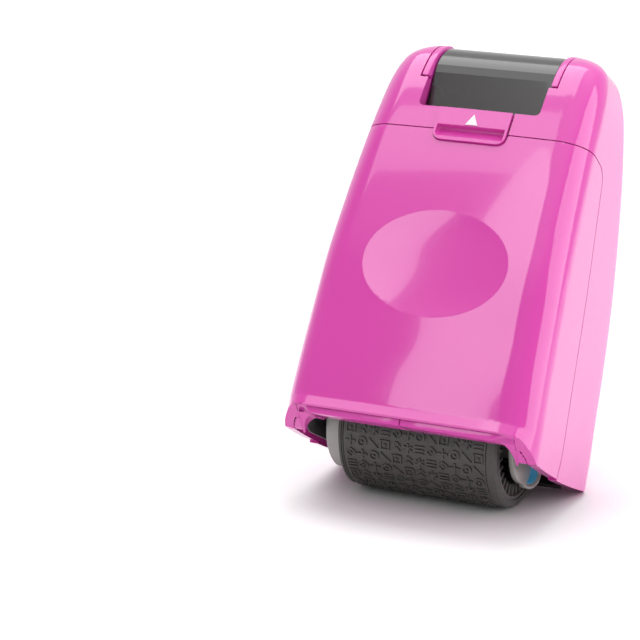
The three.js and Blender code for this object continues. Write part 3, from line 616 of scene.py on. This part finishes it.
def mouth_corner():
    """The slope under the mouth's corner, in the frame's lip and in the cheek beside it."""
    outline = [(14.6, -2.75), (18.6, -2.75), (18.6, -6.0), (18.36, -6.0), (18.06, -4.46), (17.65, -3.8)]
    outline += [(17.45, -3.6), (17.17, -3.37), (16.9, -3.16), (16.6, -3.01), (16.1, -2.9), (15.38, -2.82)]
    web = side_plate(outline, 12.6, 17.6)
    bmesh.ops.rotate(web, matrix=Matrix.Rotation(-math.pi / 2, 3, "Z"), verts=web.verts[:])
    trimmed(web, fence(SLOPE) + fence([(-12.6, -5.6), (-13.5, -2.75)]))
    round_corner = []  # the casing's inside corner, seen from above
    for degrees in range(0, 91, 9):
        turn = math.radians(degrees)
        out = Vector((math.sin(turn), -math.cos(turn), 0))
        round_corner.append((Vector((16.2, -12.75, 0)) + out * 3.93, out))
    edges = fence(SLOPE) + fence(sill(0.32)) + round_corner
    # The hollow in which the cover's corner turns gets wider in steps towards the outside.
    for low, high, room in ((18.5, 19.3, 1.23), (19.3, 19.6, 1.6), (19.6, 19.85, 2.15), (19.85, 20.03, 2.8)):
        hollow = arc(*HINGE, room, -94, 0, 16) + [(-12.6, -2.4), (-12.6, -6.0)]
        add_shape(web, trimmed(side_plate(hollow, low, high), edges))
    return web


def seats():
    """Webs between lip and wall, the pivot of the guard and the ribs under the ink roller's seat."""
    made = brick((16.0, 18.5), (-14.35, -11.1), (-2.9, 0.2))
    add_shape(made, brick((16.0, 19.6), (-12.4, -11.1), (-2.1, 0.2)))
    add_shape(made, spun([(17.3, 0), (17.3, 1.2), (17.4, 1.3), (19.3, 1.3), (19.3, 0)], steps=28))
    for y, z in (((-10.5, -3.8), (17.2, 18.0)), ((-10.5, -3.8), (11.8, 12.6)), ((-4.6, -3.8), (11.8, 18.0))):
        add_shape(made, brick((16.8, 18.9), y, z))
    return made


frame_parts = {"wall": frame_wall, "rail": rail, "lip": lip, "corner": mouth_corner, "seats": seats}
for side in ("right", "left"):
    for part, make in frame_parts.items():
        shape = make() if side == "right" else flipped(make())
        stands_for = [f"frame_{side}"] if part == "wall" else []
        finish_piece(shape, f"frame_{side}_{part}", "casing", frame_plastic, stands_for)

# Latch spring: a strip of spring steel bent twice. It is held in the casing behind the latch
# tab, and pushes the tab down again.
steel = moulded_plastic("steel", (0.55, 0.55, 0.56), (0.48, 0.48, 0.50), 0.22, 0.34)
steel.node_tree.nodes["Principled BSDF"].inputs["Metallic"].default_value = 1.0
strip = [(front_at(z) + 3.2, z) for z in (42.6, 45.6, 48.6)] + [(front_at(48.6) + 3.7, 49.1)]
strip += [(y + 0.3, z) for y, z in reversed(strip)]
finish_piece(side_plate(strip, -2.6, 2.6), "latch_spring_strip", "casing", steel, ["latch_spring"])

# Thumb lever: a dark grey gloss drum with one flat side, which runs on below the drum as
# the pad for the thumb. It turns on a steel axle between the frame's two rails.
LEVER = (0.4, 55.5)
DRUM = 8.5
grey_plastic = moulded_plastic(
    "grey_plastic", (0.022, 0.020, 0.020), (0.028, 0.025, 0.025), gloss=0.14, rough=0.2, ripple=0.01, coat=0.4
)
outline = arc(*LEVER, DRUM, -135, 153.4, 72)
outline += [(-7.5, 57.9), (-8.2, 51.2), (-8.2, 50.6), (-6.3, 50.6)]
thumb_lever = side_plate(outline, -10.4, 10.4)
feet = [e for e in thumb_lever.edges if all(abs(v.co.x) > 10.3 and v.co.z < 50.7 for v in e.verts)]
bmesh.ops.bevel(
    thumb_lever,
    geom=feet,
    offset=1.3,
    offset_type="OFFSET",
    segments=8,
    profile=0.5,
    affect="EDGES",
    material=-1,
)
round_edges(thumb_lever, 0.3, 25, 3)
finish_piece(thumb_lever, "thumb_lever_body", "lever", grey_plastic, ["thumb_lever"], sharp=6)


def pin_profile(half, radius=1.0, ease=0.15):
    """Profile of a round pin with eased ends, half its length to each side."""
    return [
        (-half, 0), (-half, radius - ease), (ease - half, radius),
        (half - ease, radius), (half, radius - ease), (half, 0),
    ]


lever_axle = spun(pin_profile(13.2), *LEVER, steps=32)
finish_piece(lever_axle, "lever_axle_pin", "lever", steel, ["lever_axle"])

# Cranks: black moulded arms pressed on the lever's axle outside the rails. Each has an eye for
# the bent end of a link wire.
black_plastic = moulded_plastic("black_plastic", (0.018, 0.017, 0.019), (0.026, 0.025, 0.027), 0.3, 0.45)
CRANK_PIN = (3.6 * math.cos(math.radians(60)), 3.6 * math.sin(math.radians(60)))


def hull_reach(angle, hulls):
    """How far a ray from the first circle's centre stays inside any of the two-circle hulls."""
    near, far = 0.0, 30.0
    for _ in range(24):
        middle = (near + far) / 2
        y, z = middle * math.cos(angle), middle * math.sin(angle)
        inside = any(
            math.hypot(y - by * t, z - bz * t) < ra + (rb - ra) * t
            for ra, (by, bz, rb) in hulls
            for t in [i / 24 for i in range(25)]
        )
        near, far = (middle, far) if inside else (near, middle)
    return near


def arm_outline(y, z, *hulls, steps=120):
    """Outline of arms that reach from a round hub at (y, z), each to a round end of its own."""
    turns = [i / steps * 2 * math.pi for i in range(steps)]
    reaches = [hull_reach(a, hulls) for a in turns]
    return [(y + r * math.cos(a), z + r * math.sin(a)) for r, a in zip(reaches, turns)]


crank_outline = arm_outline(*LEVER, (2.2, (*CRANK_PIN, 1.7)))
for side in ("right", "left"):
    crank = side_plate(crank_outline, 12.2, 13.2)
    round_edges(crank, 0.12, 50)
    crank = crank if side == "right" else flipped(crank)
    finish_piece(crank, f"crank_{side}_arm", "lever", black_plastic, [f"crank_{side}"])


# Link wires: round steel rods from the cranks down to the guard, one on each side, bent over
# at both ends.
def wire(points, radius, sides=12):
    """A round wire through the points, with a ring of its section at each of them."""
    shape = bmesh.new()
    rings = []
    spots = [Vector(p) for p in points]
    for i, spot in enumerate(spots):
        heading = (spots[min(i + 1, len(spots) - 1)] - spots[max(i - 1, 0)]).normalized()
        turn = heading.to_track_quat("Z", "Y").to_matrix().to_4x4()
        made = bmesh.ops.create_circle(
            shape, cap_ends=i in (0, len(spots) - 1), radius=radius, segments=sides,
            matrix=Matrix.Translation(spot) @ turn,
        )
        rings.append({e for v in made["verts"] for e in v.link_edges})
    for low, high in zip(rings, rings[1:]):
        bmesh.ops.bridge_loops(shape, edges=list(low | high))
    bmesh.ops.recalc_face_normals(shape, faces=shape.faces[:])
    return shape


def corner_points(before, corner, after, radius, steps=5):
    """A bend of a wire at a corner, between the straight runs."""
    here = Vector(corner)
    start = here + (Vector(before) - here).normalized() * radius
    end = here + (Vector(after) - here).normalized() * radius
    shares = [i / steps for i in range(steps + 1)]
    return [(1 - t) ** 2 * start + 2 * t * (1 - t) * here + t**2 * end for t in shares]


high_pin = (LEVER[0] + CRANK_PIN[0], LEVER[1] + CRANK_PIN[1])
route = [(12.3, *high_pin), (14.0, *high_pin), (14.0, high_pin[0], 51.0), (16.5, 2.0, 34.0)]
route += [(16.5, *CRANK_PIN), (17.9, *CRANK_PIN)]
for side in ("right", "left"):
    points = [Vector(route[0])]
    for before, corner, after in zip(route, route[1:], route[2:]):
        points += corner_points(before, corner, after, 0.7)
    link = wire(points + [Vector(route[-1])], 0.5)
    link = link if side == "right" else flipped(link)
    finish_piece(link, f"link_{side}_wire", f"{side}_link", steel, [f"link_{side}"], sharp=50)

# Guard: a black moulded shutter, part of a drum round the print roller, with a cheek at each
# end. It turns between two thin black plates on the frame's walls, and the right one stops
# short of the ink plug. These plates are painted shade: black sheets that darken the mouth's inside.
profile = [
    (-18.0, 1.7), (-18.0, 13.3), (18.0, 13.3), (18.0, 1.7),
    (17.3, 1.7), (17.3, 12.3), (-17.3, 12.3), (-17.3, 1.7),
]
guard = spun(profile, start=-25, end=74, steps=40)
round_edges(guard, 0.2, 50)
for low, high in ((17.3, 18.0), (-18.0, -17.3)):
    add_shape(guard, spun([(low, 1.6), (low, 2.9), (high, 2.9), (high, 1.6)], steps=32))
finish_piece(guard, "guard_shutter", "guard_body", black_plastic, ["guard"])
# Painted shade: each plate is a black sheet that darkens the inside of the mouth.
for side, foot in (("right", -4.3), ("left", -5.2)):
    corner_start = (-12.4, foot + 1.2)
    low_edge = [corner_start] + bend(corner_start, (-12.2, foot), (-10.5, foot)) + [(11.0, foot)]
    plate = side_plate(low_edge + [(13.5, -3.0), (13.5, 12.0), (-12.4, 12.0)], 18.1, 18.3)
    plate = plate if side == "right" else flipped(plate)
    finish_piece(plate, f"painted_shade_plate_{side}", "casing", black_plastic)

# Print roller: a rubber sleeve with raised marks, on a black hub with fine ribs inside each
# open end. The marks are bars, stars, chevrons, diamonds and the like, twelve to a row.
ROLLER = 11.3  # radius over the marks
GROUND = 11.04  # radius between them
print_rubber = moulded_plastic("print_rubber", (0.052, 0.049, 0.046), (0.066, 0.062, 0.059), 0.4, 0.58, 0.25)
sleeve = spun(
    [
        (-13.8, 9.8), (-13.8, 10.8), (-13.65, 10.98), (-13.3, 10.98), (-13.2, 10.78),
        (-13.1, 10.98), (-12.95, 10.98), (-12.85, 10.78), (-12.75, GROUND), (11.95, GROUND),
        (12.02, 10.9), (12.12, 11.06), (13.5, 11.06), (13.8, 10.7), (13.8, 9.8),
    ],
    steps=144,
)


def stroke(u, v, length, width, turn):
    """A raised bar in the flat plane of the marks: u round the roller, v along it."""
    bar = bmesh.new()
    bmesh.ops.create_cube(bar, size=1.0)
    bmesh.ops.scale(bar, vec=(length, width, 0.4), verts=bar.verts[:])
    for vert in bar.verts:
        if vert.co.z > 0:
            vert.co.x *= 0.9
            vert.co.y *= 0.78
    bmesh.ops.rotate(bar, matrix=Matrix.Rotation(turn, 3, "Z"), verts=bar.verts[:])
    bmesh.ops.translate(bar, vec=(u, v, 0), verts=bar.verts[:])
    return bar


def ring_mark(u, v, outer, inner):
    """A raised ring in the same flat plane."""
    ring = spun([(-0.2, inner), (0.2, inner), (0.2, outer), (-0.2, outer)], steps=14)
    bmesh.ops.rotate(ring, matrix=Matrix.Rotation(math.pi / 2, 3, "Y"), verts=ring.verts[:])
    bmesh.ops.translate(ring, vec=(u, v, 0), verts=ring.verts[:])
    return ring


MARKS = {  # kind of mark: place in its cell, length, width and turn of each stroke
    "bars": [(-0.6, 0, 1.7, 0.3, 90), (0, 0, 1.7, 0.3, 90), (0.6, 0, 1.7, 0.3, 90)],
    "ring": [(0, 0, 0.44, 0.44, 45)],
    "chevrons": [
        (-0.5, 0.36, 1.0, 0.28, 42), (-0.5, -0.36, 1.0, 0.28, -42),
        (0.4, 0.36, 1.0, 0.28, 42), (0.4, -0.36, 1.0, 0.28, -42),
    ],
    "diamond": [
        (0.42, 0.42, 1.25, 0.28, -45), (0.42, -0.42, 1.25, 0.28, 45),
        (-0.42, 0.42, 1.25, 0.28, 45), (-0.42, -0.42, 1.25, 0.28, -45), (0, 0, 0.4, 0.4, 45),
    ],
    "slant": [(-0.5, -0.5, 0.9, 0.28, 45), (0, 0, 1.9, 0.28, 45), (0.5, 0.5, 0.9, 0.28, 45)],
    "star": [(0, 0, 1.8, 0.3, 0), (0, 0, 1.8, 0.3, 60), (0, 0, 1.8, 0.3, 120)],
    "plus": [(0, 0, 1.8, 0.32, 0), (0, 0.53, 0.74, 0.32, 90), (0, -0.53, 0.74, 0.32, 90)],
    "square": [
        (0, 0.72, 1.7, 0.28, 0), (0, -0.72, 1.7, 0.28, 0),
        (0.72, 0, 1.2, 0.28, 90), (-0.72, 0, 1.2, 0.28, 90), (0, 0, 0.45, 0.45, 0),
    ],
}
ROWS = 32
COLUMNS = 12
kinds = list(MARKS)
marks = bmesh.new()
for row in range(ROWS):
    for column in range(COLUMNS):
        kind = kinds[(column * 3 + row * 5 + (row // 3) * 2) % len(kinds)]
        u = (row + 0.5) / ROWS * 2 * math.pi * ROLLER
        v = -11.45 + column * 2.02
        if kind == "ring":
            add_shape(marks, ring_mark(u, v, 0.88, 0.6))
        for du, dv, length, width, turn in MARKS[kind]:
            add_shape(marks, stroke(u + du, v + dv, length, width, math.radians(turn)))
for vert in marks.verts:
    u, v, rise = vert.co
    radius = ROLLER - 0.2 + rise
    vert.co = (v, radius * math.cos(u / ROLLER), radius * math.sin(u / ROLLER))
bmesh.ops.recalc_face_normals(marks, faces=marks.faces[:])
finish_piece(sleeve, "stamp_sleeve_rubber", "print_roller", print_rubber, ["stamp_sleeve"])
finish_piece(marks, "stamp_marks", "print_roller", print_rubber)

hub_plastic = moulded_plastic("hub_plastic", (0.085, 0.080, 0.076), (0.105, 0.099, 0.094), 0.28, 0.4)
HUB_RIBS = 32
rim, half = 9.15, 13.7
hub = spun(
    [
        (-13.4, 2.4), (-13.4, 3.2), (-0.8, 3.2), (-0.8, rim), (-half, rim), (-half, 9.75),
        (half, 9.75), (half, rim), (0.8, rim), (0.8, 3.2), (13.4, 3.2), (13.4, 2.4),
    ],
    steps=96,
)
round_edges(hub, 0.12, 50)
for i in range(HUB_RIBS):
    for low, high in ((6.2, 13.5), (-13.5, -6.2)):
        rib = brick((low, high), (7.3, 9.25), (-0.22, 0.22), 0.08)
        bmesh.ops.rotate(rib, matrix=Matrix.Rotation(i / HUB_RIBS * 2 * math.pi, 3, "X"), verts=rib.verts[:])
        add_shape(hub, rib)
finish_piece(hub, "stamp_hub_body", "print_roller", hub_plastic, ["stamp_hub"])

# Cartridge: a frame moulded in clear grey plastic, which carries both rollers. The print roller
# turns on two flanged bushes on a steel axle. The right cheek has a tilted boss for the blue ink
# plug, and the left one a round wall in front of the guard's wire.
INK = (16.4 * math.cos(math.radians(115)), 16.4 * math.sin(math.radians(115)))
PLUG = (15.5, 2.8, -4.7)
clear_plastic = moulded_plastic("clear_plastic", (0.44, 0.43, 0.415), (0.52, 0.505, 0.485), 0.12, 0.2)
clear_plastic.node_tree.nodes["Principled BSDF"].inputs["Transmission Weight"].default_value = 0.25


def cheek(hub_radius, *more):
    """An end plate of the cartridge, from round the print roller's axle up to the ink roller's."""
    outline = arm_outline(0, 0, (hub_radius, (*INK, 6.7)), *more)
    plate = side_plate(outline, 14.3, 15.2)
    round_edges(plate, 0.15, 50)
    add_shape(plate, spun([(15.0, 0), (15.0, 2.0), (18.0, 2.0), (18.1, 1.9), (18.1, 0)], *INK, steps=36))
    return plate


def tilted(profile):
    """A round shape on the plug's own axis, which points outwards and a little to the front."""
    shape = spun(profile, steps=48)
    bmesh.ops.rotate(shape, matrix=Matrix.Rotation(math.radians(-25), 3, "Z"), verts=shape.verts[:])
    bmesh.ops.translate(shape, vec=PLUG, verts=shape.verts[:])
    return shape


cartridge = cheek(7.0, (2.65, (*PLUG[1:], 2.65)))
boss = tilted(
    [
        (-5.0, 0), (-5.0, 2.65), (-0.25, 2.65), (-0.05, 2.5), (0, 2.3),
        (-0.1, 2.0), (-0.3, 1.8), (-1.0, 1.75), (-1.0, 0),
    ]
)
add_shape(cartridge, trimmed(boss, block((14.35, None))))
left_cheek = cheek(8.7)
round_wall = [(15.0, 7.9), (15.0, 8.7), (16.85, 8.7), (17.0, 8.55), (17.0, 7.9)]
add_shape(left_cheek, spun(round_wall, start=100, end=290, steps=60))
add_shape(cartridge, flipped(left_cheek))
housing = spun([(-14.4, 5.7), (-14.4, 6.7), (14.4, 6.7), (14.4, 5.7)], *INK, start=15, end=215, steps=48)
add_shape(cartridge, housing)
finish_piece(cartridge, "cartridge_cheeks", "casing", clear_plastic, ["cartridge_frame"])

bush_profile = [
    (10.7, 1.3), (10.7, 2.0), (10.8, 2.1), (13.7, 2.1),
    (13.7, 2.9), (14.05, 2.9), (14.15, 2.8), (14.15, 1.3),
]
for side in ("right", "left"):
    bush = spun(bush_profile, steps=40)
    bush = bush if side == "right" else flipped(bush)
    finish_piece(bush, f"bush_{side}_ring", "casing", clear_plastic, [f"bush_{side}"])
axle = pin_profile(15.2)
finish_piece(spun(axle, steps=32), "stamp_axle_pin", "casing", steel, ["stamp_axle"])
finish_piece(spun(axle, *INK, steps=32), "ink_axle_pin", "casing", steel, ["ink_axle"])

blue_plastic = moulded_plastic(
    "blue_plastic", (0.05, 0.36, 0.62), (0.09, 0.44, 0.70), gloss=0.06, rough=0.12, ripple=0.01, coat=0.5
)
plug = tilted(
    [(-0.9, 0), (-0.9, 1.8), (-0.22, 1.8), (-0.12, 1.7), (-0.15, 1.5), (-0.35, 1.1), (-0.5, 0.6), (-0.55, 0)]
)
finish_piece(plug, "ink_plug_cap", "casing", blue_plastic, ["ink_plug"])

# Ink roller: a sleeve of black felt on a plastic core. It turns on its own steel axle above
# the print roller, and is pressed against it.
ink_felt = moulded_plastic("ink_felt", (0.010, 0.010, 0.016), (0.024, 0.024, 0.032), 0.85, 0.98, 0.8)
felt = spun([(-13.4, 2.7), (-13.4, 4.8), (-13.2, 5.0), (13.2, 5.0), (13.4, 4.8), (13.4, 2.7)], *INK, steps=72)
finish_piece(felt, "ink_felt_sleeve", "ink_roller", ink_felt, ["ink_felt"])
core = spun([(-13.7, 1.3), (-13.7, 2.3), (-13.6, 2.4), (13.6, 2.4), (13.7, 2.3), (13.7, 1.3)], *INK, steps=40)
finish_piece(core, "ink_core_tube", "ink_roller", black_plastic, ["ink_core"])

# Floor and light: a plain pale floor under the stamp, a sky that is brighter overhead and
# behind, and large soft panels. The front's gloss mirrors the long panel on its right half.
floor_mesh = bmesh.new()
bmesh.ops.create_grid(floor_mesh, x_segments=1, y_segments=1, size=20.0)
mesh = bpy.data.meshes.new("floor")
floor_mesh.to_mesh(mesh)
floor_mesh.free()
floor = bpy.data.objects.new("floor", mesh)
bpy.context.scene.collection.objects.link(floor)
paper = moulded_plastic("floor_paper", (0.92, 0.92, 0.92), (0.90, 0.90, 0.90), 0.9, 0.95)
mesh.materials.append(paper)

world = bpy.data.worlds.new("studio")
bpy.context.scene.world = world
world.use_nodes = True
nodes, links = world.node_tree.nodes, world.node_tree.links
background = nodes["Background"]
background.inputs["Color"].default_value = (1, 1, 1, 1)
heading = nodes.new("ShaderNodeTexCoord")
split = nodes.new("ShaderNodeSeparateXYZ")
links.new(heading.outputs["Generated"], split.inputs["Vector"])
level = nodes.new("ShaderNodeValue").outputs["Value"]
level.default_value = 0.4
for axis, low, high, gain in (("Z", 0.6, 0.95, 0.8), ("Y", -0.1, 0.5, 0.5)):
    ramp = nodes.new("ShaderNodeMapRange")
    ramp.interpolation_type = "SMOOTHSTEP"
    ramp.inputs["From Min"].default_value = low
    ramp.inputs["From Max"].default_value = high
    ramp.inputs["To Max"].default_value = gain
    links.new(split.outputs[axis], ramp.inputs["Value"])
    total = nodes.new("ShaderNodeMath")
    total.operation = "ADD"
    links.new(ramp.outputs["Result"], total.inputs[0])
    links.new(level, total.inputs[1])
    level = total.outputs["Value"]
links.new(level, background.inputs["Strength"])
white = nodes.new("ShaderNodeBackground")  # what the camera sees past the floor
white.inputs["Color"].default_value = (1, 1, 1, 1)
rays = nodes.new("ShaderNodeLightPath")
mixed = nodes.new("ShaderNodeMixShader")
links.new(rays.outputs["Is Camera Ray"], mixed.inputs["Fac"])
links.new(background.outputs["Background"], mixed.inputs[1])
links.new(white.outputs["Background"], mixed.inputs[2])
links.new(mixed.outputs["Shader"], nodes["World Output"].inputs["Surface"])


def ceiling_panel(name, x, y, width, length, turn, brightness, height=1.6):
    """A soft panel facing down. Its place and size are shares of its height over the stamp."""
    lamp = bpy.data.lights.new(name, "AREA")
    lamp.shape = "RECTANGLE"
    lamp.size, lamp.size_y = width * height, length * height
    lamp.energy = brightness * math.pi * lamp.size * lamp.size_y
    holder = bpy.data.objects.new(name, lamp)
    bpy.context.scene.collection.objects.link(holder)
    holder.location = (x * height, y * height, height + 0.035)
    holder.rotation_euler = (0, 0, math.radians(turn))
    return holder


ceiling_panel("front_panel", -0.482, -1.205, 0.293, 1.64, -23.6, 2.8)
ceiling_panel("brow_panel", -0.5, -0.36, 0.7, 0.26, 0, 1.4)
ceiling_panel("top_panel", -0.35, 0.29, 1.0, 0.82, 0, 2.2)
side_panel = ceiling_panel("side_panel", 0, 0, 1.0, 1.2, 0, 2.2, 1.0)
side_panel.location = (1.15, 0.15, 0.5)
side_panel.rotation_mode = "QUATERNION"
side_panel.rotation_quaternion = Vector((-1.15, -0.15, -0.465)).to_track_quat("-Z", "Y")

bpy.context.scene.view_settings.view_transform = "Standard"
